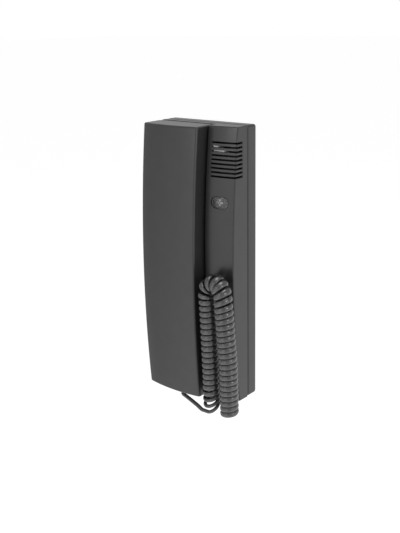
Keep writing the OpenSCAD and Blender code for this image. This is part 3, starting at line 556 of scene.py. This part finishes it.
def make_button():
    form = bmesh.new()
    rings = [
        oval_ring(form, -LIP_W, lambda reach: LIP_D - LIP_T), oval_ring(form, -LIP_W, lambda reach: LIP_D),
        oval_ring(form, 0, lambda reach: LIP_D),
    ]
    for step in range(RIM_STEPS + 1):
        a = math.radians(90 / RIM_STEPS * step)
        inset = BUTTON_RIM_R * (1 - math.cos(a))
        fall = BUTTON_RIM_R * (1 - math.sin(a))
        rings.append(oval_ring(form, inset, lambda reach: dome_depth(reach) - fall))
    for inset in DOME_INSETS:
        rings.append(oval_ring(form, inset, dome_depth))
    bridge(form, rings)
    for edge in form.edges:
        edge.smooth = edge.calc_face_angle() < SHARP_ANGLE
    cap = add_piece("door_button_cap", form, "door_button", MATERIALS["clear_plastic"])
    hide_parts("door_button")

    form = bmesh.new()
    place = Matrix.Translation(Vector((BUTTON_X, -sum(CROSS_D) / 2, BUTTON_Z)) * MM)
    for w, h in ((CROSS_W, CROSS_T), (CROSS_T, CROSS_W)):
        size = Vector((w, CROSS_D[1] - CROSS_D[0], h)) * MM
        bmesh.ops.create_cube(form, size=1, matrix=place @ Matrix.Diagonal((*size, 1)))
    bmesh.ops.bevel(
        form, geom=form.edges[:], offset=CROSS_EDGE_R * MM, segments=CROSS_EDGE_STEPS, profile=0.5,
        affect="EDGES")
    add_piece("door_button_cross", form, "door_button", FROSTED)


# Studio: a surround that is white behind the object and in places grey in front of it, and a floor to match
FLOOR_Z = -330
FLOOR_SIZE = 30000
FLOOR_PAINT = 0.7
FLOOR_GLOW = 0.62
FLOOR_ROUGH = 0.9
FLOOR_WHITE_R = (250, 340)
OVERHEAD_LEVEL = 0.52
# Upward parts of a direction between which the surround goes over into the overhead level
OVERHEAD_SPAN = (0.03, 0.25)
# Level of the surround by direction: degrees from straight ahead of the object, to the right
SURROUND = (
    (-180, 1.0), (-150, 1.0), (-100, 1.0), (-85, 0.85), (-62, 0.48), (-38, 0.78), (-15, 1.0), (2, 1.0),
    (16, 0.78), (28, 0.6), (54, 0.6), (68, 0.9), (92, 0.95), (115, 0.86), (141, 0.93), (180, 1.0),
)
# Square lamps that point at the origin: name, place, side and watts
LAMPS = (
    ("overhead", (150, -100, 900), 600, 2.6),
    ("front", (-110, -900, 260), 140, 0.4),
    ("right", (880, -240, 260), 140, 0.9),
)


def feed(tree, socket, value):
    """Sets a socket to a number, or links it to another socket."""
    if isinstance(value, (int, float)):
        socket.default_value = value
    else:
        tree.links.new(value, socket)


def maths(tree, operation, *values):
    """A calculation with numbers and sockets."""
    node = tree.nodes.new("ShaderNodeMath")
    node.operation = operation
    for socket, value in zip(node.inputs, values):
        feed(tree, socket, value)
    return node.outputs[0]


def surround_level(tree, x, y):
    """The surround's level in a level direction from the object."""
    turn = maths(tree, "ARCTAN2", x, maths(tree, "MULTIPLY", y, -1))
    ramp = tree.nodes.new("ShaderNodeValToRGB")
    ramp.color_ramp.interpolation = "EASE"
    elements = ramp.color_ramp.elements
    while len(elements) < len(SURROUND):
        elements.new(0.5)
    for element, (degrees, level) in zip(elements, SURROUND):
        element.position = degrees / 360 + 0.5
        element.color = (*grey(level), 1)
    tree.links.new(maths(tree, "MULTIPLY_ADD", turn, 0.5 / math.pi, 0.5), ramp.inputs["Fac"])
    return ramp.outputs["Color"]


def fade(tree, share, first, second):
    """From one colour to another: share is a number or a socket, the first a socket, the second a grey."""
    node = tree.nodes.new("ShaderNodeMix")
    node.data_type = "RGBA"
    node.inputs["B"].default_value = (*grey(second), 1)
    feed(tree, node.inputs["Factor"], share)
    tree.links.new(first, node.inputs["A"])
    return node.outputs["Result"]


def make_world():
    world = bpy.data.worlds.new("surround")
    scene.world = world
    world.use_nodes = True
    tree = world.node_tree
    parts = add_node(tree, "SeparateXYZ")
    tree.links.new(add_node(tree, "TexCoord").outputs["Generated"], parts.inputs[0])
    upper = add_node(tree, "MapRange", From_Min=OVERHEAD_SPAN[0], From_Max=OVERHEAD_SPAN[1])
    tree.links.new(parts.outputs["Z"], upper.inputs["Value"])
    level = surround_level(tree, parts.outputs["X"], parts.outputs["Y"])
    colour = fade(tree, upper.outputs["Result"], level, OVERHEAD_LEVEL)
    tree.links.new(colour, tree.nodes["Background"].inputs["Color"])


def make_floor():
    """A pale floor: white under the object, and as bright as the surround further out."""
    material = bpy.data.materials.new("floor")
    material.use_nodes = True
    tree = material.node_tree
    tree.nodes.clear()
    parts = add_node(tree, "SeparateXYZ")
    tree.links.new(add_node(tree, "NewGeometry").outputs["Position"], parts.inputs[0])
    x, y = parts.outputs["X"], parts.outputs["Y"]
    reach = maths(tree, "SQRT", maths(tree, "MULTIPLY_ADD", x, x, maths(tree, "MULTIPLY", y, y)))
    near = add_node(
        tree, "MapRange", From_Min=FLOOR_WHITE_R[0] * MM, From_Max=FLOOR_WHITE_R[1] * MM, To_Min=1, To_Max=0)
    tree.links.new(reach, near.inputs["Value"])
    level = fade(tree, near.outputs["Result"], surround_level(tree, x, y), 1)
    shader = add_node(
        tree, "BsdfPrincipled", Roughness=FLOOR_ROUGH, Specular_IOR_Level=0, Emission_Strength=FLOOR_GLOW)
    tree.links.new(level, shader.inputs["Emission Color"])
    tree.links.new(fade(tree, 1 - FLOOR_PAINT, level, 0), shader.inputs["Base Color"])
    out = add_node(tree, "OutputMaterial")
    tree.links.new(shader.outputs[0], out.inputs["Surface"])
    bpy.ops.mesh.primitive_plane_add(size=FLOOR_SIZE * MM, location=(0, 0, FLOOR_Z * MM))
    floor = bpy.context.object
    floor.name = "floor"
    floor.data.materials.append(material)


def make_lamps():
    for name, at, side, watts in LAMPS:
        data = bpy.data.lights.new(name, "AREA")
        data.size = side * MM
        data.energy = watts
        light = bpy.data.objects.new(name, data)
        light.location = Vector(at) * MM
        light.rotation_euler = (-Vector(at)).to_track_quat("-Z", "Y").to_euler()
        light.visible_camera = False
        scene.collection.objects.link(light)


def dress_nodes():
    """The solids' own materials, for those that show."""
    for node, slot in SLOTS.items():
        materials = frame["nodes"][node].data.materials
        materials.clear()
        materials.append(MATERIALS[slot])


make_camera()
make_cord()
make_shells()
make_button()
dress_nodes()
make_world()
make_floor()
make_lamps()
